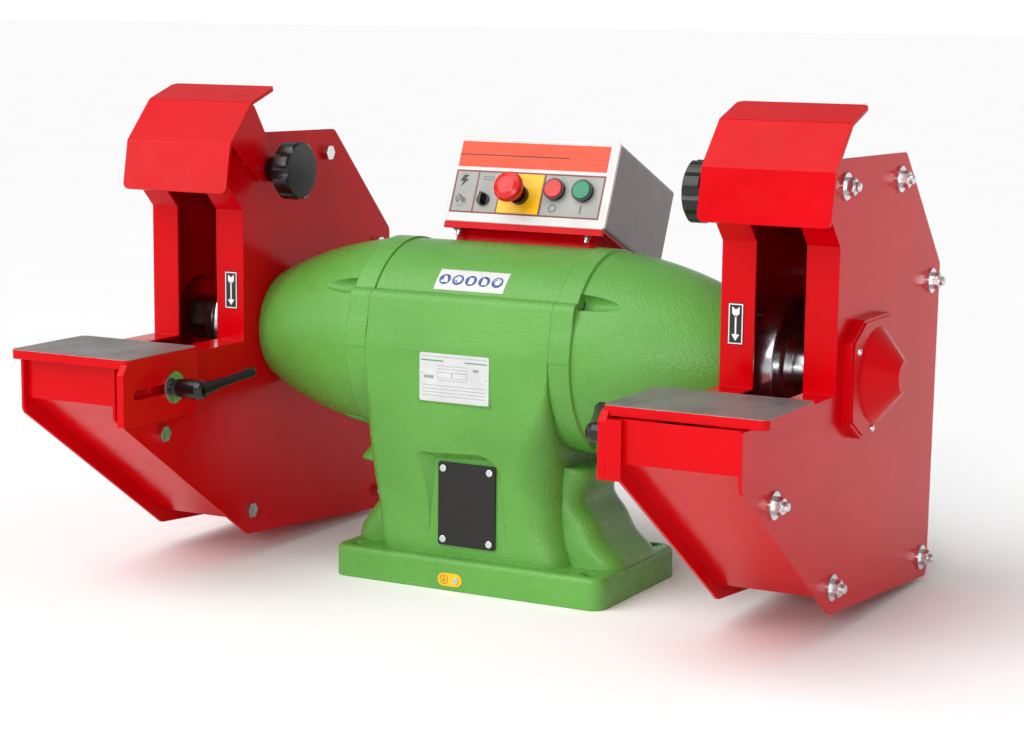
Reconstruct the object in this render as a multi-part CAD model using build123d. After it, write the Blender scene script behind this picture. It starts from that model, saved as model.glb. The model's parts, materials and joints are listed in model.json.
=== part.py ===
from build123d import *
from math import cos, pi, sin, tan, radians, hypot
import os

os.makedirs("parts", exist_ok=True)

# ------------------------------------------------------------------ driving dimensions (mm)
AXIS_Z = 316.0                 # spindle height above the base
BASE_X, BASE_Y, BASE_Z = 400.0, 238.0, 42.0
BASE_HOLE_X, BASE_HOLE_Y, BASE_HOLE_R = 174.0, 98.0, 6.5

BARREL_L, BARREL_R = -140.0, 128.0     # ends of the motor barrel along X
BARREL_RAD, BARREL_BORE = 132.0, 108.0
RING_RAD, RING_LEN = 134.0, 30.0       # flange ring of each end bell
PAD_Y, PAD_TOP = 134.5, 391.0          # front and back pads of the casting
PAD_TOP_Y = 121.0
BOLT_Y, BOLT_DZ, TIE_R = 94.0, 68.0, 4.8
LOW_BOLT_Y, LOW_BOLT_DZ = 60.0, -104.0
HEAD_R, HEAD_L = 6.2, 7.0      # sunk heads of the tie bolts
BELL_END = 350.0               # |X| of the small end of each bell

GUARD_IN, GUARD_OUT = 350.0, 500.0     # |X| of the two guard faces
PLATE_T, BAND_T = 4.0, 3.0
BAND_INSET = 22.0
LIP_Y = -107.5                 # front face of the upright lips
SLOT_IN, SLOT_OUT = 394.0, 458.6       # |X| of the wheel slot
REST_LEVEL = 304.0             # top of the lower guard

KNOB_Y, KNOB_Z = -57.0, 535.0  # visor pivot and clamp
VISOR_T = 4.5
VISOR_IN, VISOR_OUT = 339.0, 508.0

CLAMP_Y, CLAMP_Z = -308.0, 271.0       # work rest clamp
REST_T, REST_TOP = 12.0, 317.5
FLANGE_R = 92.0
SHAFT_SEAT_R, BEARING_BORE_R, BEARING_RAD = 18.0, 20.0, 40.0

BOX_X0, BOX_X1 = -112.0, 129.0         # control box
BOX_DEPTH, BOX_H = 188.0, 121.0
BOX_TILT = 23.4
BOX_Y, BOX_Z = 21.0, 472.0             # lower front edge of the control box

SIDES = {"left": -1, "right": 1}


# ------------------------------------------------------------------ helpers
def box(x0, x1, y0, y1, z0, z1):
    """Axis-aligned block between two corners."""
    return Pos((x0 + x1) / 2, (y0 + y1) / 2, (z0 + z1) / 2) * Box(x1 - x0, y1 - y0, z1 - z0)


def rod_x(x0, x1, y, z, r):
    """Round bar along X."""
    return extrude(Plane.YZ.offset(x0) * Pos(y, z) * Circle(r), amount=x1 - x0)


def hex_x(x0, x1, y, z, flats, turn=0):
    """Hexagonal bar along X, stated across its flats."""
    return extrude(
        Plane.YZ.offset(x0) * Pos(y, z) * Rot(0, 0, turn) * RegularPolygon(flats / 2, 6, major_radius=False),
        amount=x1 - x0,
    )


def plate_x(points, x0, x1, corner=0):
    """Plate of a (Y, Z) outline between two X faces, with rounded corners."""
    face = Plane.YZ.offset(x0) * Polygon(*points, align=None)
    if corner:
        face = fillet(face.vertices(), corner)
    return extrude(face, amount=x1 - x0, dir=(1, 0, 0))


def turned(points, y=0, z=AXIS_Z):
    """Solid turned about a line along X from an (X, radius) outline."""
    outline = Polyline(*[(x, y, z + r) for x, r in points], close=True)
    return revolve(make_face(outline), Axis((0, y, z), (1, 0, 0)))


def offset_path(path, distance):
    """Mitred copy of an open (Y, Z) path, moved to its left."""
    moved = []
    for i, (y, z) in enumerate(path):
        y0, z0 = path[max(i - 1, 0)]
        y1, z1 = path[min(i + 1, len(path) - 1)]
        before = (y - y0, z - z0) if i > 0 else (y1 - y, z1 - z)
        after = (y1 - y, z1 - z) if i < len(path) - 1 else before
        a = (before[0] / hypot(*before), before[1] / hypot(*before))
        b = (after[0] / hypot(*after), after[1] / hypot(*after))
        normal = (-(a[1] + b[1]) / 2, (a[0] + b[0]) / 2)
        scale = distance / (normal[0] ** 2 + normal[1] ** 2)
        moved.append((y + normal[0] * scale, z + normal[1] * scale))
    return moved


def strip(path, thickness, x0, x1):
    """Bent sheet following a (Y, Z) path, thickened to its left."""
    return plate_x(path + offset_path(path, thickness)[::-1], x0, x1)


def inset(points, distance):
    """Closed clockwise outline moved inwards by one distance per edge."""
    lines = []
    count = len(points)
    for i in range(count):
        (y0, z0), (y1, z1) = points[i], points[(i + 1) % count]
        length = hypot(y1 - y0, z1 - z0)
        normal = ((z1 - z0) / length, -(y1 - y0) / length)
        d = distance[i]
        lines.append((y0 + normal[0] * d, z0 + normal[1] * d, y1 - y0, z1 - z0))
    moved = []
    for i in range(count):
        ay, az, au, av = lines[i - 1]
        by, bz, bu, bv = lines[i]
        t = ((by - ay) * bv - (bz - az) * bu) / (au * bv - av * bu)
        moved.append((ay + au * t, az + av * t))
    return moved


def on_side(side, solid):
    """Parts are drawn on the right and mirrored for the left."""
    return solid if SIDES[side] > 0 else mirror(solid, about=Plane.YZ)


def span(side, near, far):
    """Lower and upper X of a stretch stated by its distance from the middle."""
    return sorted((SIDES[side] * near, SIDES[side] * far))


def group(solids):
    """Several separate solids in one node."""
    return Compound(children=[s for solid in solids for s in solid.solids()])


def save(name, shape):
    """One STEP file per node."""
    shape.label = name
    export_step(shape, f"parts/{name}.step")


# ------------------------------------------------------------------ motor casting
def pad_block(x0, x1, z0):
    """Front and back pads with rounded upper corners, between two X faces."""
    outline = Plane.YZ.offset(x0) * Polygon(
        (-PAD_Y, z0), (PAD_Y, z0), (PAD_Y, 322), (PAD_TOP_Y, PAD_TOP), (-PAD_TOP_Y, PAD_TOP), (-PAD_Y, 322), align=None
    )
    upper = outline.vertices().filter_by(lambda v: v.Z > PAD_TOP - 1)
    outline = fillet(upper, 12)
    shoulder = outline.vertices().filter_by(lambda v: abs(v.Z - 322) < 1)
    return extrude(fillet(shoulder, 60), amount=x1 - x0, dir=(1, 0, 0))


def section(z, x0, x1, half_y, left_corner, right_corner):
    """Rectangle across the pedestal with its own corner radius at each end."""
    face = Plane.XY.offset(z) * Pos((x0 + x1) / 2, 0) * Rectangle(x1 - x0, 2 * half_y)
    face = fillet(face.vertices().filter_by(lambda v: v.X < 0), left_corner)
    return fillet(face.vertices().filter_by(lambda v: v.X > 0 and abs(abs(v.Y) - half_y) < 0.01), right_corner)


# upright body under the barrel, full width at the top and drawn in below the pads
COLUMN = [
    (BASE_Z - 1, -139, 135, 99, 20, 38),
    (75, -143, 126, 100.5, 20, 44),
    (110, -146, 121, 103.5, 20, 50),
    (150, -150, 119, 109.5, 20, 50),
    (185, -150, 120, 117.5, 20, 44),
    (215, -147, 123, 126, 18, 32),
    (245, -143, 126.5, 132.5, 12, 18),
    (270, -141, BARREL_R, PAD_Y, 6, 8),
    (291, BARREL_L, BARREL_R, PAD_Y, 3, 3),
]
# toes that spread to both ends of the base
TOES = [
    (BASE_Z - 1, -199, 199, 70, 30, 30),
    (48, -198.5, 197, 70, 30, 30),
    (56, -196, 191, 70, 30, 30),
    (67, -190, 178, 70, 30, 30),
    (82, -179, 167, 69, 30, 30),
    (105, -165, 153, 68, 30, 30),
    (135, -154, 140, 68, 30, 30),
    (170, -147, 131, 68, 30, 30),
    (205, BARREL_L, BARREL_R, 68, 30, 30),
]
pedestal = loft([section(*row) for row in COLUMN]) + loft([section(*row) for row in TOES])
base = box(-BASE_X / 2, BASE_X / 2, -BASE_Y / 2, BASE_Y / 2, 0, BASE_Z)
base = fillet(base.edges().filter_by(Axis.Z), 20)
base = fillet(base.faces().sort_by(Axis.Z)[-1].edges(), 7)

PLATE_X0, PLATE_X1, PLATE_Z0, PLATE_Z1 = -57.0, 45.0, 253.5, 316.5
frame = base + pedestal + pad_block(BARREL_L, BARREL_R, 290)
frame += box(PLATE_X0 - 2, PLATE_X1 + 2, -PAD_Y, -PAD_Y + 20, PLATE_Z0 - 2, PLATE_Z1 + 2)
frame -= box(PLATE_X0 - 2, PLATE_X1 + 2, -PAD_Y - 9, -PAD_Y, PLATE_Z0 - 2, PLATE_Z1 + 2)
frame += rod_x(BARREL_L, BARREL_R, 0, AXIS_Z, BARREL_RAD)
frame -= rod_x(BARREL_L, BARREL_R, 0, AXIS_Z, BARREL_BORE)
for x0, x1 in ((BARREL_L - 40, BARREL_L), (BARREL_R, BARREL_R + 40)):
    frame -= rod_x(x0, x1, 0, AXIS_Z, RING_RAD)

# arched recess for the connection window, and the chamber behind it
RECESS_Y = -100.0
WINDOW_MID, WINDOW_X, WINDOW_Z0, WINDOW_Z1 = -4.0, 42.5, 57.0, 168.0


def recess_outline(y, left, top, right, left_round, right_round):
    """Four-sided opening in a plane of constant Y; left and right list (foot X, head X)."""
    points = [(left[0], 48), (left[1], top[0]), (right[1], top[1]), (right[0], 48)]
    face = Plane(origin=(0, y, 0), x_dir=(1, 0, 0), z_dir=(0, -1, 0)) * Polygon(*points, align=None)
    head_left = face.vertices().sort_by_distance((left[1], y, top[0]))[0]
    face = fillet([head_left], left_round)
    head_right = face.vertices().sort_by_distance((right[1], y, top[1]))[0]
    return fillet([head_right], right_round)


deep = recess_outline(RECESS_Y, (-64, -51), (172, 177), (54, 46), 6, 18)
wide = recess_outline(-126, (-78, -90), (186, 190), (64, 54), 12, 44)
frame -= loft([deep, wide])
frame -= box(WINDOW_MID - 34, WINDOW_MID + 34, -101, -60, 66, 160)
# underside is open like a real casting
frame -= box(-118, 106, -80, 80, -1, 56)
frame -= box(-112, 100, -68, 80, 55, 150)

for sx in (-1, 1):
    for sy in (-1, 1):
        x, y = sx * BASE_HOLE_X, sy * BASE_HOLE_Y
        frame -= Pos(x, y, BASE_Z / 2) * Cylinder(BASE_HOLE_R, BASE_Z + 2)
        frame -= Pos(x, y, BASE_Z) * Cylinder(BASE_HOLE_R + 5, 1.6)

tie_points = [
    (sy * y, AXIS_Z + dz) for sy in (-1, 1) for y, dz in ((BOLT_Y, BOLT_DZ), (LOW_BOLT_Y, LOW_BOLT_DZ))
]
for y, z in tie_points:
    frame -= rod_x(BARREL_L - 1, BARREL_R + 1, y, z, TIE_R + 0.2)
save("motor_frame", frame)


# ------------------------------------------------------------------ end bells
def end_bell(joint):
    """Bell on the +X side: flange ring at |X| = joint, tapering to the spindle bearing."""
    ring_end = joint + RING_LEN
    curve = Spline(
        (ring_end + 1.5, 0, 130.5),
        (205, 0, 125.5),
        (245, 0, 116.5),
        (285, 0, 104.0),
        (322, 0, 88.5),
        (BELL_END - 4, 0, 76.0),
    )
    outline = Polyline((ring_end + 1.5, 0, 130.5), (ring_end, 0, RING_RAD), (joint, 0, RING_RAD), (joint, 0, 116))
    outline += Polyline((joint, 0, 116), (200, 0, 113), (290, 0, 88), (316, 0, 52), (316, 0, BEARING_RAD))
    outline += Polyline((316, 0, BEARING_RAD), (341, 0, BEARING_RAD), (341, 0, 24), (BELL_END, 0, 24))
    outline += Polyline((BELL_END, 0, 24), (BELL_END, 0, 72), (BELL_END - 4, 0, 76.0))
    face = make_face(outline + curve)
    bell = Pos(0, 0, AXIS_Z) * revolve(face, Axis.X)
    pads = pad_block(joint, ring_end, AXIS_Z) - rod_x(joint - 1, ring_end + 1, 0, AXIS_Z, 120)
    bell += fillet(pads.faces().sort_by(Axis.X)[-1].edges().filter_by(lambda e: e.center().Z > 385), 3)
    for y, z in tie_points:
        bell -= rod_x(joint - 1, ring_end + 1, y, z, TIE_R + 0.2)
        bell -= rod_x(ring_end - HEAD_L, ring_end + 1, y, z, HEAD_R + 0.3)
        scoop = Spline((ring_end, 0, 11.5), (ring_end + 22, 0, 10), (ring_end + 50, 0, 5), (ring_end + 70, 0, 0))
        scoop += Polyline((ring_end + 70, 0, 0), (ring_end, 0, 0), (ring_end, 0, 11.5))
        away = 127.5 / hypot(y, z - AXIS_Z)
        bell -= Pos(0, y * away, AXIS_Z + (z - AXIS_Z) * away) * revolve(make_face(scoop), Axis.X)
    for y, z in mount_points:
        bell -= rod_x(328, BELL_END + 1, y, z, 4.2)
    return bell


mount_points = [(62 * cos(radians(a)), AXIS_Z + 62 * sin(radians(a))) for a in (80, 170, 260, 350)]
save("right_end_bell", on_side("right", end_bell(BARREL_R)))
save("left_end_bell", on_side("left", end_bell(-BARREL_L)))

tie_bolts = []
for y, z in tie_points:
    x0, x1 = BARREL_L - RING_LEN, BARREL_R + RING_LEN
    bolt = rod_x(x0, x1, y, z, TIE_R)
    for a, b in ((x0, x0 + HEAD_L), (x1 - HEAD_L, x1)):
        bolt += rod_x(a, b, y, z, HEAD_R)
    bolt -= hex_x(x0 - 1, x0 + 3.5, y, z, 6)
    bolt -= hex_x(x1 - 3.5, x1 + 1, y, z, 6)
    tie_bolts.append(bolt)
save("tie_bolts", group(tie_bolts))

# ------------------------------------------------------------------ motor inside the barrel
CORE = 75.0
MID = (BARREL_L + BARREL_R) / 2
stator = turned([(MID - CORE, 70), (MID - CORE, BARREL_BORE), (MID + CORE, BARREL_BORE), (MID + CORE, 70)])
save("stator_core", stator)
coils = [
    turned([(a, 76), (a, 98), (b, 94), (b, 80)])
    for a, b in ((MID - CORE, MID - CORE - 32), (MID + CORE, MID + CORE + 32))
]
save("stator_windings", group(coils))
save("rotor_core", turned([(MID - CORE, 24), (MID - CORE, 69.2), (MID + CORE, 69.2), (MID + CORE, 24)]))

shaft_steps = [(120, 24), (120, 24), (316, 24), (316, BEARING_BORE_R), (352, BEARING_BORE_R)]
shaft_steps += [(352, SHAFT_SEAT_R), (452, SHAFT_SEAT_R), (452, 15), (508, 15), (510, 13)]
right_half = shaft_steps[1:]
left_half = [(-x, r) for x, r in reversed(right_half)]
save("spindle_shaft", turned([(-510, 0)] + left_half + right_half + [(510, 0)]))

bearings = []
for side in SIDES:
    outer = turned([(322, 31), (322, BEARING_RAD), (340, BEARING_RAD), (340, 31)])
    inner = turned([(322, BEARING_BORE_R + 0.04), (322, 28), (340, 28), (340, BEARING_BORE_R + 0.04)])
    shield = turned([(323, 28), (323, 31), (339, 31), (339, 28)])
    bearings.append(on_side(side, outer + inner + shield))
save("spindle_bearings", group(bearings))
caps = []
for side in SIDES:
    cap = turned([(310, 25), (310, 48), (316, 48), (316, 39.5), (322, 39.5), (322, 25)])
    caps.append(on_side(side, cap))
save("bearing_caps", group(caps))

# ------------------------------------------------------------------ wheel flanges and nuts
FACE_X, RIM_X, HUB_X, NUT_X = 394.0, 412.0, 452.0, 470.0   # |X| along the spindle
spindle_nuts = []
for side in SIDES:
    inner = turned(
        [(352.5, SHAFT_SEAT_R), (352.5, 31), (356, 31), (360, 40), (376, 78), (383, FLANGE_R - 5), (FACE_X - 1, FLANGE_R - 5)]
        + [(FACE_X, FLANGE_R - 6), (FACE_X, SHAFT_SEAT_R)]
    )
    save(f"{side}_inner_flange", on_side(side, inner))
    outer = turned(
        [(FACE_X, SHAFT_SEAT_R), (FACE_X, FLANGE_R - 1), (FACE_X + 1, FLANGE_R), (RIM_X - 2, FLANGE_R)]
        + [(RIM_X, FLANGE_R - 2), (RIM_X, 70), (RIM_X - 3, 67), (RIM_X - 3, 46), (RIM_X + 6, 42)]
        + [(RIM_X + 23, 42), (RIM_X + 23, 38), (HUB_X - 1, 38), (HUB_X, 37), (HUB_X, SHAFT_SEAT_R)]
    )
    save(f"{side}_outer_flange", on_side(side, outer))
    collar = turned([(HUB_X, 15), (HUB_X, 35), (HUB_X + 2, 37), (NUT_X - 4, 37), (NUT_X, 32), (NUT_X, 15)])
    nut = hex_x(NUT_X, 503, 0, AXIS_Z, 54, turn=12)
    nut &= turned([(NUT_X, 0), (NUT_X, 29.5), (NUT_X + 2, 31.5), (500, 31.5), (503, 28), (503, 0)])
    nut -= rod_x(NUT_X - 1, 504, 0, AXIS_Z, 15)
    spindle_nuts += [on_side(side, collar), on_side(side, nut)]
save("spindle_nuts", group(spindle_nuts))

# ------------------------------------------------------------------ wheel guards
# side outline, clockwise seen from +X with Y to the right
OUTLINE = [
    (-118, 586), (123, 582), (276, 428), (270, 5), (-102, 34), (-393, 236),
    (-393, REST_LEVEL), (LIP_Y, REST_LEVEL), (LIP_Y, 482), (-145, 520), (-143, 562),
]
EDGE_INSET = [BAND_INSET, 20, 8, 18, 19, 8, 0, 0, 0, 0, 0]
GUARD_BOLTS = [(-96.4, 552.9), (101.0, 549.5), (239.4, 408.3), (-297.0, 206.0), (-99.5, 67.8), (240.5, 35.8)]
BOLT_SHANK_R = 6.0
ROUND = {0: 12, 1: 14, 2: 14, 3: 12, 4: 12, 5: 14, 9: 6, 10: 8}


def guard_plate(x0, x1):
    """One side plate of the guard."""
    face = Plane.YZ.offset(x0) * Polygon(*OUTLINE, align=None)
    for index, radius in ROUND.items():
        y, z = OUTLINE[index]
        corner = face.vertices().sort_by_distance((x0, y, z))[0]
        face = fillet([corner], radius)
    plate = extrude(face, amount=x1 - x0, dir=(1, 0, 0))
    for y, z in GUARD_BOLTS:
        plate -= rod_x(x0 - 1, x1 + 1, y, z, BOLT_SHANK_R + 0.2)
    return plate


INNER_LINE = inset(OUTLINE, EDGE_INSET)
# peripheral band: from the front panel round the chute, floor and back to the top
BAND_PATH = [
    INNER_LINE[6], INNER_LINE[5], INNER_LINE[4], INNER_LINE[3], INNER_LINE[2], INNER_LINE[1], INNER_LINE[0],
]
# lip strip: down the visor slope, down the front, then forward over the chute
LIP_PATH = [(-143, 560), (-145, 520), (LIP_Y, 482), (LIP_Y, REST_LEVEL), (-382, REST_LEVEL)]


def guard_lip(x0, x1):
    """Bent strip beside the wheel slot."""
    return strip(LIP_PATH, BAND_T, x0, x1)


COVER_SCREWS = [(-68, AXIS_Z + 37), (71, AXIS_Z + 8), (-13, AXIS_Z - 64)]
for side in SIDES:
    body = guard_plate(GUARD_IN, GUARD_IN + PLATE_T)
    body += strip(BAND_PATH, BAND_T, GUARD_IN + PLATE_T, GUARD_OUT - PLATE_T)
    body += guard_lip(GUARD_IN + PLATE_T, SLOT_IN)
    body += box(332.3, GUARD_IN, -388, -262, 233, 303)
    body += rod_x(GUARD_IN + PLATE_T, GUARD_IN + PLATE_T + 9, KNOB_Y, KNOB_Z, 10)
    body -= rod_x(GUARD_IN - 1, GUARD_IN + PLATE_T + 10, KNOB_Y, KNOB_Z, 5.1)
    body -= rod_x(GUARD_IN - 1, GUARD_IN + PLATE_T + 1, 0, AXIS_Z, 34)
    for y, z in mount_points:
        body -= rod_x(GUARD_IN - 1, GUARD_IN + PLATE_T + 1, y, z, 4.2)
    body -= rod_x(331, GUARD_IN + PLATE_T + 1, CLAMP_Y, CLAMP_Z, 6.0)
    save(f"{side}_guard_body", on_side(side, body))

    cover = guard_plate(*span(side, GUARD_OUT - PLATE_T, GUARD_OUT))
    cover += guard_lip(*span(side, SLOT_OUT, GUARD_OUT - PLATE_T))
    cover -= rod_x(*span(side, GUARD_OUT - 5, GUARD_OUT + 1), 0, AXIS_Z, 60)
    for y, z in COVER_SCREWS:
        cover -= rod_x(*span(side, GUARD_OUT - 5, GUARD_OUT + 1), y, z, 2.6)
    save(f"{side}_guard_cover", cover)

bolts, washers, nuts = [], [], []
for side in SIDES:
    for i, (y, z) in enumerate(GUARD_BOLTS):
        head = 5.5 if i == 0 else 8.0
        bolt = hex_x(GUARD_IN - head, GUARD_IN, y, z, 19) + rod_x(GUARD_IN - head, 519, y, z, BOLT_SHANK_R)
        bolt -= turned([(517, BOLT_SHANK_R), (519, 4.5), (519, 8), (517, 8)], y, z)
        bolts.append(on_side(side, bolt))
        washer = rod_x(GUARD_OUT, GUARD_OUT + 3, y, z, 16.5) - rod_x(GUARD_OUT - 1, GUARD_OUT + 4, y, z, 6.1)
        washers.append(on_side(side, washer))
        nut = hex_x(GUARD_OUT + 3, GUARD_OUT + 13, y, z, 19, turn=20)
        nut &= turned([(503, 0), (503, 11.5), (510.5, 11.5), (513, 9.2), (513, 0)], y, z)
        nuts.append(on_side(side, nut - rod_x(502, 514, y, z, BOLT_SHANK_R)))
save("guard_bolts", group(bolts))
save("guard_washers", group(washers))
save("guard_nuts", group(nuts))

mount_screws = []
for side in SIDES:
    for y, z in mount_points:
        screw = rod_x(330, GUARD_IN + PLATE_T, y, z, 4.0) + rod_x(GUARD_IN + PLATE_T, 362, y, z, 6.5)
        screw -= hex_x(358, 363, y, z, 6)
        mount_screws.append(on_side(side, screw))
save("guard_mount_screws", group(mount_screws))

# ------------------------------------------------------------------ shaft covers
COVER_FLAT, COVER_TOP = 86.0, 73.0
corner_z = COVER_FLAT * tan(pi / 6)
clip_y = (COVER_FLAT / cos(pi / 6) - COVER_TOP) / tan(pi / 6)
COVER_OUTLINE = [
    (COVER_FLAT, AXIS_Z + corner_z), (clip_y, AXIS_Z + COVER_TOP), (-clip_y, AXIS_Z + COVER_TOP),
    (-COVER_FLAT, AXIS_Z + corner_z), (-COVER_FLAT, AXIS_Z - corner_z), (-clip_y, AXIS_Z - COVER_TOP),
    (clip_y, AXIS_Z - COVER_TOP), (COVER_FLAT, AXIS_Z - corner_z),
]
cover_screws = []
for side in SIDES:
    lid = plate_x(COVER_OUTLINE, GUARD_OUT, GUARD_OUT + 12, corner=8)
    lid += plate_x([(y * 0.95, AXIS_Z + (z - AXIS_Z) * 0.95) for y, z in COVER_OUTLINE], 512, 514, corner=8)
    lid += turned([(514, 0), (514, 60), (517, 58), (546, 22), (548, 19), (548, 0)])
    lid -= turned([(499, 0), (499, 58), (514, 56), (543, 20), (545, 16), (545, 0)])
    for y, z in COVER_SCREWS:
        lid -= rod_x(499, 515, y, z, 2.6)
        screw = rod_x(490, 514, y, z, 2.5) + turned([(514, 0), (514, 4.6), (516, 4.2), (517, 2.5), (517, 0)], y, z)
        screw -= box(516, 518, y - 0.6, y + 0.6, z - 4, z + 4)
        cover_screws.append(on_side(side, screw))
    save(f"{side}_shaft_cover", on_side(side, lid))
save("shaft_cover_screws", group(cover_screws))

# ------------------------------------------------------------------ visors
VISOR_PATH = [(-164, 508), (-152, 573.5), (-101, 627.5), (-44, 647)]
EAR = [
    (-150.5, 573.5), (-101, 625.5), (-94, 621), (-47, 553), (-45, 530), (-62, 517), (-80, 523), (-123, 554),
]
for side in SIDES:
    visor = plate_x(VISOR_PATH + offset_path(VISOR_PATH, -VISOR_T)[::-1], VISOR_IN, VISOR_OUT)
    long_edges = visor.edges().filter_by(Axis.X)
    bends = [e for e in long_edges if 560 < e.center().Z < 635]
    visor = fillet(bends, 4)
    ends = [e for e in visor.edges() if 3 < e.length < 6 and (e.center().Z < 515 or e.center().Z > 640)]
    visor = fillet(ends, 9)
    visor += plate_x(EAR, VISOR_IN, VISOR_IN + VISOR_T, corner=4)
    visor -= rod_x(VISOR_IN - 1, VISOR_IN + VISOR_T + 1, KNOB_Y, KNOB_Z, 5.3)
    save(f"{side}_visor", on_side(side, visor))

    star = Circle(39.5)
    for i in range(8):
        star -= Pos(48.5 * cos(i * pi / 4), 48.5 * sin(i * pi / 4)) * Circle(13.0)
    star = fillet(star.vertices(), 2.5)
    star = Plane.YZ.offset(287.5) * Pos(KNOB_Y, KNOB_Z) * star
    knob = extrude(star, amount=27.5, dir=(1, 0, 0))
    knob &= turned([(287.5, 0), (287.5, 36), (291.0, 41), (309, 41), (315, 33), (315, 0)], KNOB_Y, KNOB_Z)
    knob += turned([(313, 0), (313, 19), (337.4, 17), (338.7, 15.5), (338.7, 0)], KNOB_Y, KNOB_Z)
    knob += rod_x(338, 368, KNOB_Y, KNOB_Z, 5.0)
    save(f"{side}_visor_knob", on_side(side, knob))

# ------------------------------------------------------------------ work rests and clamps
REST_X = {"left": (322.0, 510.0), "right": (322.0, 522.0)}
REST_SHIFT = {"left": 0.0, "right": 25.0}
rest_washers = []
for side in SIDES:
    x0, x1 = REST_X[side]
    dy = REST_SHIFT[side]
    top = box(x0, x1, -403 + dy, -252 + dy, REST_TOP - REST_T, REST_TOP)
    top = fillet(top.edges().filter_by(Axis.Z), 10)
    top = fillet(top.faces().sort_by(Axis.Z)[-1].edges(), 1.2)
    flange = plate_x(
        [(-403 + dy, 312), (-412 + dy, 300), (-412 + dy, 232), (-254 + dy, 230), (-252 + dy, 312)], x0, x0 + 10, corner=3
    )
    rest = top + flange
    slot = Plane.YZ.offset(x0 - 1) * Pos(-329 + dy, CLAMP_Z) * SlotOverall(124, 12.6)
    rest -= extrude(slot, amount=12)
    save(f"{side}_work_rest", on_side(side, rest))
    rest_washers.append(on_side(side, rod_x(318.7, 321.7, CLAMP_Y, CLAMP_Z, 20.5) - rod_x(318, 323, CLAMP_Y, CLAMP_Z, 5.6)))

    hub = turned([(272, 0), (272, 9), (275, 11.5), (281, 13), (314, 12), (318.4, 10), (318.4, 0)], CLAMP_Y, CLAMP_Z)
    start = Vector(279, CLAMP_Y, CLAMP_Z)
    reach = Vector(-26, 74, 15)
    arm_plane = Plane(origin=start, z_dir=reach)
    arm = loft([arm_plane * Circle(10), arm_plane.offset(reach.length * 0.4) * Ellipse(8, 6.5),
                arm_plane.offset(reach.length) * Ellipse(9, 6.5)])
    tip = Pos(start + reach) * Sphere(7.4)
    lever = hub + arm + tip
    lever += rod_x(318, 366, CLAMP_Y, CLAMP_Z, 5.4)
    lever -= hex_x(271, 276, CLAMP_Y, CLAMP_Z, 8)
    save(f"{side}_clamp_lever", on_side(side, lever))
save("rest_washers", group(rest_washers))

# ------------------------------------------------------------------ control box on its bracket
tilt = radians(BOX_TILT)
panel_frame = Plane(origin=(0, BOX_Y, BOX_Z), x_dir=(1, 0, 0), z_dir=(0, sin(tilt), cos(tilt)))


def on_box(solid):
    """Places a solid drawn with X across, Y into the box and Z up its front."""
    return panel_frame * solid


def stud(x, z, y0, y1, r):
    """Round piece along the box depth."""
    return Pos(x, (y0 + y1) / 2, z) * Rot(90, 0, 0) * Cylinder(r, y1 - y0)


housing = box(BOX_X0, BOX_X1, 4, BOX_DEPTH, 0, BOX_H)
housing = fillet(housing.edges().filter_by(Axis.Y), 6)
housing -= box(BOX_X0 + 3, BOX_X1 - 3, 3, BOX_DEPTH - 3, 3, BOX_H - 3)
save("control_box", on_box(housing))

front = box(BOX_X0, BOX_X1, 0, 4, 0, BOX_H)
front = fillet(front.edges().filter_by(Axis.Y), 6)
front = fillet(front.faces().sort_by(Axis.Y)[0].edges(), 1.5)
PANEL_X0, PANEL_X1, PANEL_Z0, PANEL_Z1 = BOX_X0 + 5, BOX_X1 - 5, 6.0, BOX_H - 5
front -= box(PANEL_X0, PANEL_X1, -1, 1.5, PANEL_Z0, PANEL_Z1)
BUTTONS = {"stop_button": 47.0, "start_button": 88.5}
BUTTON_Z = 50.0
ESTOP_X, ESTOP_Z = -4.0, 40.0
SWITCH_X, SWITCH_Z = -58.0, 32.0
LAMP_X, LAMP_Z = -93.0, 31.0
panel = box(PANEL_X0, PANEL_X1, 0.3, 1.5, PANEL_Z0, PANEL_Z1)
for x, z, r in (
    (BUTTONS["stop_button"], BUTTON_Z, 11.2), (BUTTONS["start_button"], BUTTON_Z, 11.2),
    (ESTOP_X, ESTOP_Z, 11.2), (SWITCH_X, SWITCH_Z, 6.2), (LAMP_X, LAMP_Z, 5.2),
):
    front -= stud(x, z, -1, 5, r)
    panel -= stud(x, z, -1, 5, r)
save("control_front", on_box(front))
save("control_panel", on_box(panel))

stripe = box(PANEL_X0 + 0.5, PANEL_X1 - 8, 0, 0.3, 78, PANEL_Z1 - 2)
accent = box(PANEL_X0 + 0.5, 58, 0, 0.3, 94.6, 96.0)
stripe -= accent
save("panel_stripe", on_box(stripe))
cells = box(PANEL_X0 + 0.5, 117, 0, 0.3, 12.5, 73)
for x0, x1 in ((-104.3, -73), (-70.8, -37.2), (-35, 27.5), (29.7, 114.8)):
    cells -= box(x0, x1, -1, 1, 14.7, 70.8)
save("panel_cell_lines", on_box(cells))
symbols = []
bolt_sign = Polygon((-94, 66), (-87, 66), (-91, 60), (-86, 60), (-97, 48), (-94, 57), (-99, 57), align=None)
front_plane = Plane(origin=(0, 0.3, 0), x_dir=(1, 0, 0), z_dir=(0, -1, 0))
symbols.append(extrude(front_plane * bolt_sign, amount=0.3, dir=(0, -1, 0)))
symbols.append(stud(BUTTONS["stop_button"], 25, 0, 0.3, 5.6) - stud(BUTTONS["stop_button"], 25, -1, 1, 4.6))
symbols.append(box(BUTTONS["start_button"] - 0.7, BUTTONS["start_button"] + 0.7, 0, 0.3, 19, 31))
symbols.append(accent)
save("panel_symbols", on_box(group(symbols)))

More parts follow.
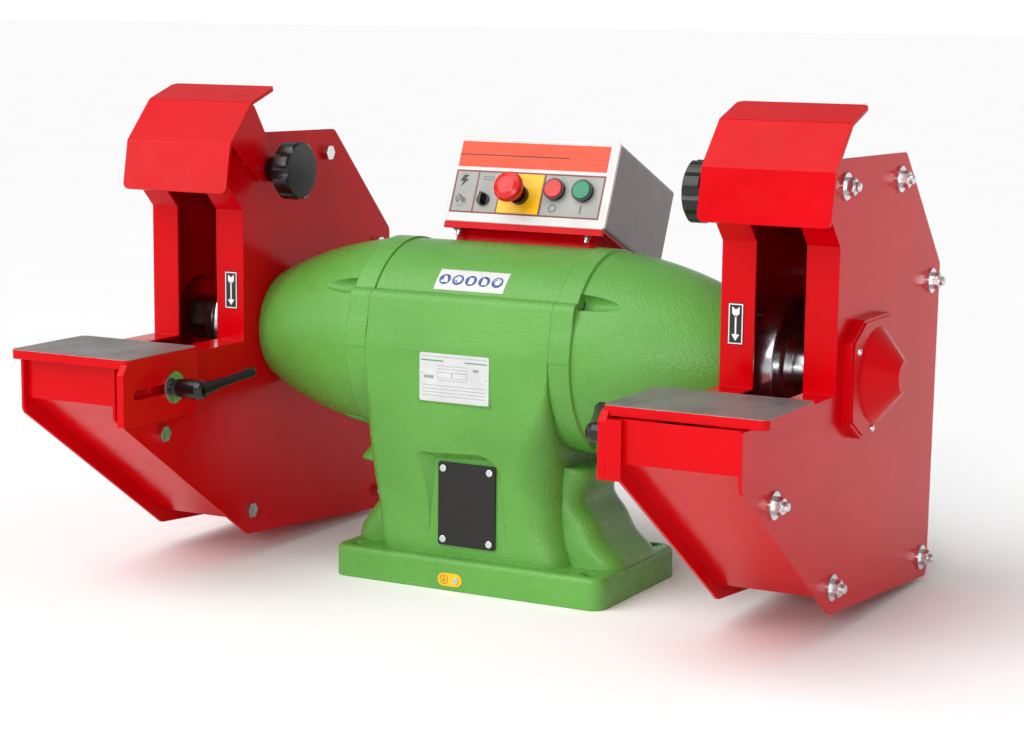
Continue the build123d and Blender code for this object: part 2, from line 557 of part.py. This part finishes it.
estop_plate = box(-34.6, 27.1, -0.9, 0.3, 15, 70.4) - stud(ESTOP_X, ESTOP_Z, -2, 2, 11.2)
save("estop_plate", on_box(estop_plate))
collar = stud(ESTOP_X, ESTOP_Z, -9, -0.9, 13.5) + stud(ESTOP_X, ESTOP_Z, -0.9, 12, 11.1) - stud(ESTOP_X, ESTOP_Z, -10, 13, 8)
save("estop_collar", on_box(collar))
head_outline = Polyline(
    (0, 0, 0), (7.9, 0, 0), (7.9, 0, 30), (15, 0, 34), (20, 0, 38), (21, 0, 43), (18.5, 0, 48.5), (11.5, 0, 51.6),
    (0, 0, 52.6),
    close=True,
)
head = Pos(ESTOP_X, 6, ESTOP_Z) * Rot(90, 0, 0) * revolve(make_face(head_outline), Axis.Z)
save("estop_button", on_box(head))

bezels = []
for name, x in BUTTONS.items():
    bezel = stud(x, BUTTON_Z, -7.5, 0.3, 14.75) + stud(x, BUTTON_Z, 0.3, 12, 11.1)
    bezel -= stud(x, BUTTON_Z, -8, -1.5, 12.7) + stud(x, BUTTON_Z, -1.6, 13, 10.2)
    bezels.append(bezel)
    cap = stud(x, BUTTON_Z, -9.5, -5.5, 12.5)
    cap = fillet(cap.faces().sort_by(lambda f: (f.center() - Vector(x, -99, BUTTON_Z)).length)[0].edges(), 1.2)
    cap += stud(x, BUTTON_Z, -6, 8, 10.0)
    save(name, on_box(cap))
save("button_bezels", on_box(group(bezels)))

selector_base = stud(SWITCH_X, SWITCH_Z, -3, 0.3, 9) + stud(SWITCH_X, SWITCH_Z, 0.3, 12, 6.1) - stud(SWITCH_X, SWITCH_Z, -4, 13, 4.2)
save("selector_base", on_box(selector_base))
toggle = stud(SWITCH_X, SWITCH_Z, -7, 10, 4.0) + box(SWITCH_X - 1.8, SWITCH_X + 1.8, -12, -3.3, SWITCH_Z - 7.5, SWITCH_Z + 7.5)
save("selector_knob", on_box(toggle))
lamp = stud(LAMP_X, LAMP_Z, 0.3, 10, 5.1) + stud(LAMP_X, LAMP_Z, -2, 0.3, 7.5)
lamp += Pos(LAMP_X, -2, LAMP_Z) * (Sphere(6.2) & box(-7, 7, -7, 0, -7, 7))
save("supply_lamp", on_box(lamp))

# bracket: tray under the box with two saddle webs standing on the barrel
tray = box(BOX_X0 + 2, BOX_X1 - 2, 1, 150, -3, 0)
tray += box(BOX_X0 + 2, BOX_X1 - 2, 1, 4, -9, -3)
bracket = on_box(tray)
casting_top = rod_x(BARREL_L, BARREL_R, 0, AXIS_Z, BARREL_RAD) + pad_block(BARREL_L, BARREL_R, AXIS_Z)
for y0 in (24, 128):
    web = box(-100, 108, y0, y0 + 3, -75, -3)
    bracket += on_box(web) - casting_top
for x in (-100, 105):
    bracket += on_box(box(x, x + 3, 24, 131, -75, -3)) - casting_top
save("control_bracket", bracket)
feet = []
for x in (-98 + 6, 106 - 6):
    for y in (13, 141):
        foot = Pos(x, y, -4) * Cylinder(7, 2) + Pos(x, y, -7.5) * Cylinder(5.6, 5) + Pos(x, y, -13) * Cylinder(3.5, 6)
        feet.append(foot)
save("bracket_screws", on_box(group(feet)))

# ------------------------------------------------------------------ window cover, plates and labels
window = box(WINDOW_MID - WINDOW_X, WINDOW_MID + WINDOW_X, RECESS_Y - 3, RECESS_Y, WINDOW_Z0, WINDOW_Z1)
window = fillet(window.edges().filter_by(Axis.Y), 3)
window_screws = []
for sx in (-1, 1):
    for z in (WINDOW_Z0 + 8, WINDOW_Z1 - 8):
        x = WINDOW_MID + sx * (WINDOW_X - 8)
        place = Pos(x, RECESS_Y - 3, z) * Rot(90, 0, 0)
        window -= place * Cylinder(2.1, 10)
        screw = place * (Pos(0, 0, 1.4) * Cylinder(5, 2.8)) + place * (Pos(0, 0, -1.5) * Cylinder(2.0, 3))
        screw = fillet(screw.faces().sort_by(Axis.Y)[0].edges(), 1.2)
        screw -= place * (Pos(0, 0, 2.6) * Box(5, 1, 1.2))
        screw -= place * (Pos(0, 0, 2.6) * Box(1, 5, 1.2))
        window_screws.append(screw)
save("window_cover", window)
save("window_screws", group(window_screws))

plate = box(PLATE_X0, PLATE_X1, -PAD_Y - 0.8, -PAD_Y, PLATE_Z0, PLATE_Z1)
save("data_plate", fillet(plate.edges().filter_by(Axis.Y), 3))

label = turned([(-54, BARREL_RAD), (-54, BARREL_RAD + 0.5), (48, BARREL_RAD + 0.5), (48, BARREL_RAD)])
low, high = (AXIS_Z + 300 * tan(radians(a)) for a in (36.8, 51.2))
wedge = plate_x([(0, AXIS_Z), (-300, low), (-300, high)], -60, 60)
save("safety_label", label & wedge)

earth = extrude(
    Plane(origin=(-19, -BASE_Y / 2, 15), x_dir=(1, 0, 0), z_dir=(0, -1, 0)) * SlotOverall(36, 17.5), amount=0.8
)
save("earth_plate", earth)
earth_screw = Pos(-9.5, -BASE_Y / 2 - 2.4, 15) * Rot(90, 0, 0) * Cylinder(4, 3.2)
save("earth_screw", earth_screw)

arrows = []
for side in SIDES:
    z0 = 347.5 if side == "left" else 356.0
    arrows.append(on_side(side, box(360, 380, LIP_Y - 0.8, LIP_Y, z0, z0 + 50.5)))
save("arrow_plates", group(arrows))

gland = Pos(70, 118, 90) * Rot(90, 0, 0) * (Cylinder(11, 30) - Cylinder(6, 32))
gland += Pos(70, 114, 90) * Rot(90, 0, 0) * extrude(RegularPolygon(15, 6), amount=4, both=True)
gland -= Pos(70, 118, 90) * Rot(90, 0, 0) * Cylinder(6, 40)
gland -= frame
save("cable_gland", gland)
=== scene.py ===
import json
import math

import bmesh
import bpy
from mathutils import Matrix, Vector


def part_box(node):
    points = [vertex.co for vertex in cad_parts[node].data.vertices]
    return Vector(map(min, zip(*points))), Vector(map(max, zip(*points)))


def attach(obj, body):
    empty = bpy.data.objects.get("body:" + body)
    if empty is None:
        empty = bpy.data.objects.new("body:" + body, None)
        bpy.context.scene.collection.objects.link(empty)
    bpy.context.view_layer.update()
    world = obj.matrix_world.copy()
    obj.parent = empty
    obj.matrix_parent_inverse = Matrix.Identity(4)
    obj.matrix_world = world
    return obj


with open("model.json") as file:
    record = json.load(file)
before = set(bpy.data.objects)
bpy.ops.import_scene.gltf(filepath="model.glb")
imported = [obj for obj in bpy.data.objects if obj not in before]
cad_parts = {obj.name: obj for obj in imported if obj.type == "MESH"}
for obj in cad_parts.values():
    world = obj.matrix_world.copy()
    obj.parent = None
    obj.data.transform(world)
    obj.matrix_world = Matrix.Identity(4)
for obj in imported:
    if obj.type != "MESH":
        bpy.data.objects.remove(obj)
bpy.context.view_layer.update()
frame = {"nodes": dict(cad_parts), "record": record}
nodes = frame["nodes"]

# places on the machine that printed details stand on (m)
AXIS_Z = 0.316
LABEL_R, LABEL_START = 0.1325, math.radians(36.8)   # curved label: radius, lower edge
PLATE_FACE = -0.1353                                # front of the data plate
BASE_FACE = -0.1198                                 # front of the earth plate
BOX_Y, BOX_Z = 0.021, 0.472                         # lower front edge of the control box


# ------------------------------------------------------------------ materials
class Shader:
    """A principled material with short helpers for its node tree."""

    def __init__(self, name, color, rough=0.4, metal=0.0, coat=0.0, coat_rough=0.05, spec=0.5):
        self.mat = bpy.data.materials.new(name)
        self.mat.use_nodes = True
        self.tree = self.mat.node_tree
        self.bsdf = self.tree.nodes["Principled BSDF"]
        self.set("Base Color", (*color, 1))
        self.set("Roughness", rough)
        self.set("Metallic", metal)
        self.set("Coat Weight", coat)
        self.set("Coat Roughness", coat_rough)
        self.set("Specular IOR Level", spec)
        self.coords = self.node("ShaderNodeTexCoord").outputs["Object"]
        self.height = None

    def node(self, kind, **values):
        n = self.tree.nodes.new(kind)
        for key, value in values.items():
            setattr(n, key, value)
        return n

    def set(self, socket, value):
        self.bsdf.inputs[socket].default_value = value

    def link(self, a, b):
        self.tree.links.new(a, b)

    def stretched(self, scale):
        m = self.node("ShaderNodeMapping")
        m.inputs["Scale"].default_value = scale
        self.link(self.coords, m.inputs["Vector"])
        return m.outputs["Vector"]

    def noise(self, scale, detail=3, rough=0.5, vector=None):
        n = self.node("ShaderNodeTexNoise")
        n.inputs["Scale"].default_value = scale
        n.inputs["Detail"].default_value = detail
        n.inputs["Roughness"].default_value = rough
        self.link(vector or self.coords, n.inputs["Vector"])
        return n.outputs["Fac"]

    def ramp(self, value, low, high, a=0.0, b=1.0):
        r = self.node("ShaderNodeMapRange")
        r.inputs["From Min"].default_value = low
        r.inputs["From Max"].default_value = high
        r.inputs["To Min"].default_value = a
        r.inputs["To Max"].default_value = b
        self.link(value, r.inputs["Value"])
        return r.outputs["Result"]

    def math(self, kind, a, b=None):
        m = self.node("ShaderNodeMath", operation=kind)
        for i, v in enumerate((a, b)):
            if v is None:
                continue
            if isinstance(v, (int, float)):
                m.inputs[i].default_value = v
            else:
                self.link(v, m.inputs[i])
        return m.outputs[0]

    def mix(self, fac, a, b):
        """Colour mix; a and b are sockets or RGB tuples."""
        m = self.node("ShaderNodeMix", data_type="RGBA")
        self.link(fac, m.inputs["Factor"])
        for socket, v in ((m.inputs[6], a), (m.inputs[7], b)):
            if isinstance(v, tuple):
                socket.default_value = (*v, 1)
            else:
                self.link(v, socket)
        return m.outputs[2]

    def color(self, socket):
        self.link(socket, self.bsdf.inputs["Base Color"])

    def rough(self, socket):
        self.link(socket, self.bsdf.inputs["Roughness"])

    def metal(self, socket):
        self.link(socket, self.bsdf.inputs["Metallic"])

    def bump(self, value, distance, strength=1.0, soft=0.0):
        b = self.node("ShaderNodeBump")
        b.inputs["Distance"].default_value = distance
        b.inputs["Strength"].default_value = strength
        self.link(value, b.inputs["Height"])
        if self.height is not None:
            self.link(self.height, b.inputs["Normal"])
        elif soft:
            bevel = self.node("ShaderNodeBevel", samples=4)
            bevel.inputs["Radius"].default_value = soft
            self.link(bevel.outputs["Normal"], b.inputs["Normal"])
        self.height = b.outputs["Normal"]
        self.link(self.height, self.bsdf.inputs["Normal"])

    def xyz(self):
        s = self.node("ShaderNodeSeparateXYZ")
        self.link(self.coords, s.inputs[0])
        return s.outputs

    def spin_radius(self):
        """Distance from the spindle axis, in metres."""
        x, y, z = self.xyz()
        z = self.math("SUBTRACT", z, AXIS_Z)
        return self.math("SQRT", self.math("ADD", self.math("MULTIPLY", y, y), self.math("MULTIPLY", z, z)))


def enamel_green():
    s = Shader("green_enamel", (0.11, 0.36, 0.055), rough=0.3, spec=0.4)
    tone = s.ramp(s.noise(9, 4), 0.3, 0.7)
    s.color(s.mix(tone, (0.092, 0.300, 0.042), (0.114, 0.350, 0.056)))
    s.rough(s.ramp(s.noise(60, 2), 0.3, 0.7, 0.24, 0.34))
    s.bump(s.noise(420, 2, 0.5), 0.0011, 0.75, soft=0.003)
    s.bump(s.noise(900, 2), 0.0003, 0.4)
    return s.mat


def enamel_red(name="red_enamel", bare_top=None):
    s = Shader(name, (0.6, 0.0, 0.003), rough=0.2, spec=0.12)
    tone = s.ramp(s.noise(7, 3), 0.3, 0.7)
    red = s.mix(tone, (0.52, 0.0, 0.002), (0.60, 0.0, 0.004))
    s.rough(s.ramp(s.noise(40, 3), 0.3, 0.7, 0.14, 0.26))
    s.bump(s.noise(160, 2), 0.0003, 0.22, soft=0.0012)
    if bare_top is None:
        s.color(red)
        return s.mat
    # ground table: bare steel on top, worn through unevenly along its rounded edge
    wear = s.math("MULTIPLY", s.noise(260, 4, 0.7), 0.0016)
    level = s.math("ADD", s.xyz()[2], wear)
    bare = s.ramp(level, bare_top + 0.0001, bare_top + 0.0003)
    grain = s.noise(70, 5, 0.6, s.stretched((1, 16, 1)))
    ground = s.mix(s.ramp(grain, 0.3, 0.7), (0.25, 0.235, 0.225), (0.36, 0.345, 0.335))
    stain = s.ramp(s.noise(14, 5, 0.6), 0.45, 0.75)
    ground = s.mix(stain, ground, (0.19, 0.17, 0.16))
    s.color(s.mix(bare, red, ground))
    s.metal(s.math("MULTIPLY", bare, 0.6))
    s.rough(s.math("ADD", s.math("MULTIPLY", bare, 0.25), 0.2))
    return s.mat


def steel(name, color, rough, turned=False, grime=0.35):
    s = Shader(name, color, rough=rough, metal=1.0)
    stain = s.ramp(s.noise(35, 5, 0.6), 0.4, 0.8)
    dark = tuple(c * (1 - grime) for c in color)
    s.color(s.mix(stain, color, dark))
    s.rough(s.ramp(s.noise(90, 4), 0.3, 0.7, rough * 0.75, rough * 1.3))
    if turned:
        rings = s.node("ShaderNodeTexNoise", noise_dimensions="1D")
        rings.inputs["Scale"].default_value = 1400
        rings.inputs["Detail"].default_value = 2
        s.link(s.spin_radius(), rings.inputs["W"])
        s.bump(rings.outputs["Fac"], 0.00015, 0.5, soft=0.0006)
    else:
        s.bump(s.noise(300, 3), 0.0001, 0.25, soft=0.0005)
    return s.mat


def plastic(name, color, rough=0.25, grain=0.2, coat=0.0):
    s = Shader(name, color, rough=rough, coat=coat)
    tone = s.ramp(s.noise(30, 3), 0.3, 0.7)
    s.color(s.mix(tone, tuple(c * 0.92 for c in color), tuple(min(1, c * 1.08) for c in color)))
    s.rough(s.ramp(s.noise(120, 4), 0.3, 0.7, rough * 0.85, rough * 1.2))
    s.bump(s.noise(500, 2), 0.0001, grain, soft=0.0005)
    return s.mat


def lens():
    s = Shader("clear_lens", (0.9, 0.92, 0.92), rough=0.08)
    s.set("Transmission Weight", 0.8)
    s.rough(s.ramp(s.noise(200, 2), 0.3, 0.7, 0.05, 0.12))
    s.bump(s.noise(700, 1), 0.0001, 0.2)
    return s.mat


MATERIALS = {
    "green_enamel": enamel_green(),
    "red_enamel": enamel_red(),
    "rest_red_enamel": enamel_red("rest_red_enamel", bare_top=0.3175),
    "turned_steel": steel("turned_steel", (0.60, 0.61, 0.63), 0.2, turned=True),
    "plain_steel": steel("plain_steel", (0.30, 0.27, 0.26), 0.35),
    "machined_steel": steel("machined_steel", (0.42, 0.42, 0.43), 0.25, turned=True),
    "zinc_steel": steel("zinc_steel", (0.72, 0.73, 0.75), 0.24, grime=0.2),
    "varnished_copper": plastic("varnished_copper", (0.42, 0.13, 0.05)),
    "black_plastic": plastic("black_plastic", (0.003, 0.003, 0.0035), 0.22),
    "black_sheet": plastic("black_sheet", (0.003, 0.002, 0.002), 0.5),
    # grey_enamel: the control box sides. The darker grey is painted shade, and the purple tint is painted
    # reflection, on the same light enclosure as the off-white front frame
    "grey_enamel": plastic("grey_enamel", (0.16, 0.148, 0.156), 0.16),
    "off_white_enamel": plastic("off_white_enamel", (0.62, 0.61, 0.60), 0.35),
    "light_label": plastic("light_label", (0.60, 0.60, 0.58), 0.4),
    "aluminium_plate": plastic("aluminium_plate", (0.56, 0.57, 0.57), 0.35),
    "orange_label": plastic("orange_label", (0.74, 0.045, 0.0), 0.4),
    "red_label": plastic("red_label", (0.20, 0.035, 0.03), 0.4),
    "black_label": plastic("black_label", (0.01, 0.01, 0.01), 0.4),
    "yellow_label": plastic("yellow_label", (0.86, 0.47, 0.0), 0.4),
    "red_plastic": plastic("red_plastic", (0.62, 0.008, 0.006), 0.25),
    "green_plastic": plastic("green_plastic", (0.0, 0.20, 0.09), 0.25),
    "clear_lens": lens(),
    "white_print": plastic("white_print", (0.80, 0.80, 0.79), 0.4),
    "blue_print": plastic("blue_print", (0.012, 0.06, 0.24), 0.35),
    "grey_print": plastic("grey_print", (0.26, 0.26, 0.27), 0.4),
    "cell_print": plastic("cell_print", (0.33, 0.33, 0.31), 0.4),
    "ring_print": plastic("ring_print", (0.62, 0.30, 0.0), 0.4),
    "green_print": plastic("green_print", (0.03, 0.26, 0.09), 0.4),
}
slots = {p["node"]: p["material_slot"] for p in frame["record"]["subparts"]}
for name, obj in nodes.items():
    obj.data.materials.clear()
    obj.data.materials.append(MATERIALS[slots[name]])
    for p in obj.data.polygons:
        p.use_smooth = True
    obj.data.set_sharp_from_angle(angle=math.radians(28))

# ------------------------------------------------------------------ printed details
PRINT = 0.00012


def disc(x, y, r, count=28):
    """Round outline."""
    turns = [2 * math.pi * i / count for i in range(count)]
    return [(x + r * math.cos(t), y + r * math.sin(t)) for t in turns]


def bar(x0, x1, y0, y1):
    """Rectangular outline, cut across its length so that it can follow a curved label."""
    steps = max(1, math.ceil((x1 - x0) / 0.012))
    xs = [x0 + (x1 - x0) * i / steps for i in range(steps + 1)]
    return [(x, y0) for x in xs] + [(x, y1) for x in reversed(xs)]


def print_on(name, outlines, place, base, finish):
    """Raised ink: every outline becomes a thin closed prism standing on a surface."""
    bm = bmesh.new()
    for outline in outlines:
        low = [bm.verts.new(place(x, y, base)) for x, y in outline]
        high = [bm.verts.new(place(x, y, base + PRINT)) for x, y in outline]
        bm.faces.new(high)
        bm.faces.new(list(reversed(low)))
        for i in range(len(outline)):
            j = (i + 1) % len(outline)
            bm.faces.new((low[i], low[j], high[j], high[i]))
    bmesh.ops.recalc_face_normals(bm, faces=bm.faces)
    mesh = bpy.data.meshes.new(name)
    bm.to_mesh(mesh)
    bm.free()
    mesh.materials.append(MATERIALS[finish])
    obj = bpy.data.objects.new(name, mesh)
    bpy.context.scene.collection.objects.link(obj)
    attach(obj, "frame")
    return obj


def ring_pieces(x, y, outer, inner, count=36):
    """A flat ring as a row of four-sided outlines."""
    pieces = []
    for i in range(count):
        a, b = 2 * math.pi * i / count, 2 * math.pi * (i + 1) / count
        corners = ((outer, a), (outer, b), (inner, b), (inner, a))
        pieces.append([(x + r * math.cos(t), y + r * math.sin(t)) for r, t in corners])
    return pieces


def frame_pieces(x0, x1, y0, y1, w):
    """A rectangular border as four bars."""
    return [
        bar(x0, x1, y0, y0 + w),
        bar(x0, x1, y1 - w, y1),
        bar(x0, x0 + w, y0 + w, y1 - w),
        bar(x1 - w, x1, y0 + w, y1 - w),
    ]


# arrow stickers: white border and white downward arrow on black
for side, sx in (("left", -1), ("right", 1)):
    lo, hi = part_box("arrow_plates")
    z0 = hi.z - 0.0505 if side == "right" else lo.z
    cx = sx * 0.370

    def on_lip(x, y, h, cx=cx, z0=z0):
        return Vector((cx + x, lo.y - h, z0 + y))

    marks = frame_pieces(-0.0093, 0.0093, 0.0007, 0.0498, 0.0014)
    marks.append([(0, 0.0045), (0.0052, 0.0125), (-0.0052, 0.0125)])
    marks.append(bar(-0.0011, 0.0011, 0.0123, 0.036))
    tail = [(0.0011, 0.034), (0.0048, 0.038), (0.0048, 0.0465), (0, 0.0425)]
    marks.append([(-0.0011, 0.034)] + tail + [(-0.0048, 0.0465), (-0.0048, 0.038)])
    print_on(f"{side}_arrow_print", marks, on_lip, 0.00002, "white_print")


# protective-gear label round the barrel: five blue discs with simple white signs
def on_barrel(x, y, h):
    angle = LABEL_START + y / LABEL_R
    return Vector((x, -(LABEL_R + h) * math.cos(angle), AXIS_Z + (LABEL_R + h) * math.sin(angle)))


DISCS = [-0.0425 + 0.0193 * i for i in range(5)]
blue = [disc(x, 0.0165, 0.0083) for x in DISCS]
print_on("gear_discs_print", blue, on_barrel, 0.00002, "blue_print")
signs = []
for i, x in enumerate(DISCS):
    if i == 0:
        signs += [bar(x - 0.0048, x - 0.0004, 0.0118, 0.0150), bar(x + 0.0004, x + 0.0048, 0.0118, 0.0150)]
        signs += [disc(x, 0.0200, 0.0022, 14)]
    elif i == 1:
        signs += ring_pieces(x, 0.0170, 0.0052, 0.0043, 18) + [bar(x - 0.0046, x + 0.0046, 0.0168, 0.0192)]
    elif i == 2:
        signs += [bar(x - 0.0030, x + 0.0030, 0.0110, 0.0172)]
        signs += [bar(x - 0.0029 + 0.0017 * k, x - 0.0018 + 0.0017 * k, 0.0172, 0.0215) for k in range(4)]
    elif i == 3:
        signs += [bar(x - 0.0028, x + 0.0006, 0.0138, 0.0215), bar(x - 0.0028, x + 0.0046, 0.0112, 0.0140)]
    else:
        signs += [disc(x, 0.0158, 0.0034, 16)] + ring_pieces(x, 0.0165, 0.0060, 0.0050, 18)[:9]
print_on("gear_signs_print", signs, on_barrel, 0.00016, "white_print")


# data plate: a green rule, empty fields and rivet heads
def on_plate(x, y, h):
    return Vector((x, PLATE_FACE - h, y))


rules = [bar(-0.0545, -0.0215, 0.3062, 0.3076), bar(0.0095, 0.0425, 0.3062, 0.3076)]
print_on("data_rule_print", rules, on_plate, 0.00002, "green_print")
fields = frame_pieces(-0.0305, -0.0095, 0.2845, 0.2925, 0.0004)
fields += frame_pieces(-0.0090, 0.0135, 0.2845, 0.2925, 0.0004)
fields += [bar(-0.0305, 0.0135, z, z + 0.0004) for z in (0.2965, 0.3005, 0.2815)]
fields += [bar(-0.0530, 0.0410, z, z + 0.0004) for z in (0.2745, 0.2700, 0.2655, 0.2610)]
fields += [bar(-0.0500, -0.0360, 0.2835, 0.2875), bar(0.0220, 0.0300, 0.2960, 0.2990)]
fields += [bar(-0.0545, 0.0425, 0.3120, 0.3124)]
fields += [disc(-0.0530, 0.2900, 0.0010, 10), disc(0.0410, 0.2870, 0.0010, 10)]
print_on("data_field_print", fields, on_plate, 0.00002, "grey_print")

# control panel: grey cell grounds, switch mark and emergency-stop rings
TILT = math.radians(23.4)


def on_panel(x, y, h):
    depth = 0.0003 - h
    return Vector((
        x,
        BOX_Y + depth * math.cos(TILT) + y * math.sin(TILT),
        BOX_Z - depth * math.sin(TILT) + y * math.cos(TILT),
    ))


def around(x, y, w, h, holes):
    """Rectangle with round holes, as thin upright strips."""
    strips = []
    count = 60
    for i in range(count):
        x0, x1 = x + w * i / count, x + w * (i + 1) / count
        mid = (x0 + x1) / 2
        spans = [(y, y + h)]
        for hx, hy, r in holes:
            if abs(mid - hx) < r:
                half = math.sqrt(r * r - (mid - hx) ** 2)
                spans = [
                    part
                    for a, b in spans
                    for part in ((a, min(b, hy - half)), (max(a, hy + half), b))
                    if part[1] - part[0] > 0.0002
                ]
        strips += [[(x0, a), (x1, a), (x1, b), (x0, b)] for a, b in spans]
    return strips


cells = around(-0.1043, 0.0147, 0.0313, 0.0561, [(-0.093, 0.031, 0.0078)])
cells += around(-0.0708, 0.0147, 0.0336, 0.0561, [(-0.058, 0.032, 0.0093)])
cells += around(0.0297, 0.0147, 0.0851, 0.0561, [(0.047, 0.050, 0.0150), (0.0885, 0.050, 0.0150)])
print_on("panel_cell_print", cells, on_panel, 0.00002, "cell_print")
rings = [piece for r in (0.0165, 0.0200, 0.0235) for piece in ring_pieces(-0.004, 0.040, r + 0.0005, r)]
print_on("estop_ring_print", rings, on_panel, 0.00122, "ring_print")
switch = [bar(-0.0630, -0.0480, 0.0600, 0.0606), bar(-0.0630, -0.0480, 0.0640, 0.0646)]
switch += [bar(-0.0630, -0.0624, 0.0606, 0.0640), bar(-0.0486, -0.0480, 0.0606, 0.0640)]
print_on("switch_mark_print", switch, on_panel, 0.00016, "black_label")


# earth sign beside its screw
def on_base(x, y, h):
    return Vector((x, BASE_FACE - h, y))


earth = ring_pieces(-0.0275, 0.015, 0.0062, 0.0055, 24)
earth += [bar(-0.0279, -0.0271, 0.0150, 0.0195), bar(-0.0312, -0.0238, 0.0146, 0.0153)]
earth += [bar(-0.0300, -0.0250, 0.0128, 0.0134), bar(-0.0288, -0.0262, 0.0110, 0.0116)]
print_on("earth_sign_print", earth, on_base, 0.00002, "black_label")

# ------------------------------------------------------------------ floor, light, camera
floor = bpy.data.objects.new("studio_floor", bpy.data.meshes.new("studio_floor"))
bm = bmesh.new()
bmesh.ops.create_grid(bm, x_segments=1, y_segments=1, size=60)
bm.to_mesh(floor.data)
bm.free()
bpy.context.scene.collection.objects.link(floor)
floor_mat = Shader("studio_floor", (0.95, 0.95, 0.95), rough=1.0, spec=0.0)
floor_tone = floor_mat.ramp(floor_mat.noise(2, 2), 0.3, 0.7)
floor_mat.color(floor_mat.mix(floor_tone, (0.94, 0.94, 0.94), (0.96, 0.96, 0.96)))
floor.data.materials.append(floor_mat.mat)

# white round the horizon, softer overhead
world = bpy.data.worlds.new("studio")
bpy.context.scene.world = world
world.use_nodes = True
tree = world.node_tree
sky = tree.nodes["Background"]
ray = tree.nodes.new("ShaderNodeTexCoord")
split = tree.nodes.new("ShaderNodeSeparateXYZ")
fade = tree.nodes.new("ShaderNodeMapRange")
fade.inputs["From Min"].default_value = 0.03
fade.inputs["From Max"].default_value = 0.30
fade.inputs["To Min"].default_value = 1.2
fade.inputs["To Max"].default_value = 0.42
tree.links.new(ray.outputs["Generated"], split.inputs[0])
tree.links.new(split.outputs["Z"], fade.inputs["Value"])
tree.links.new(fade.outputs["Result"], sky.inputs["Strength"])
sky.inputs["Color"].default_value = (1.0, 1.0, 1.0, 1)


def aim(obj, place, target):
    obj.location = place
    obj.rotation_euler = (Vector(target) - Vector(place)).to_track_quat("-Z", "Y").to_euler()
    bpy.context.scene.collection.objects.link(obj)


def area_light(name, place, target, size, power, color=(1, 1, 1)):
    data = bpy.data.lights.new(name, "AREA")
    data.shape = "RECTANGLE"
    data.size, data.size_y = size
    data.energy = power
    data.color = color
    aim(bpy.data.objects.new(name, data), place, target)


sun = bpy.data.lights.new("soft_sun", "SUN")
sun.energy = 2.3
sun.angle = math.radians(60)
aim(bpy.data.objects.new("soft_sun", sun), (-2.2, -3.6, 5.4), (0, 0, 0.3))
area_light("key_left", (-2.6, -3.0, 1.6), (0, 0, 0.3), (0.9, 1.6), 16)
area_light("front_fill", (1.2, -3.6, 1.1), (0, 0, 0.3), (0.7, 0.5), 34)

AZIMUTH, ELEVATION, ROLL = (math.radians(v) for v in (28.45, 9.44, 0.58))
level = math.cos(ELEVATION)
back = Vector((math.sin(AZIMUTH) * level, -math.cos(AZIMUTH) * level, math.sin(ELEVATION)))
side = Vector((math.cos(AZIMUTH), math.sin(AZIMUTH), 0))
up = back.cross(side)
right = side * math.cos(ROLL) + up * math.sin(ROLL)
top = up * math.cos(ROLL) - side * math.sin(ROLL)
camera = bpy.data.objects.new("camera", bpy.data.cameras.new("camera"))
camera.matrix_world = Matrix(
    (
        (right.x, top.x, back.x, 1.4517),
        (right.y, top.y, back.y, -2.7209),
        (right.z, top.z, back.z, 0.7635),
        (0, 0, 0, 1),
    )
)
camera.data.lens = 82.34
camera.data.sensor_width = 36
camera.data.shift_x = 0.0190
camera.data.shift_y = 0.0175
camera.data.clip_end = 300
bpy.context.scene.collection.objects.link(camera)
bpy.context.scene.camera = camera
bpy.context.scene.view_settings.view_transform = "Standard"
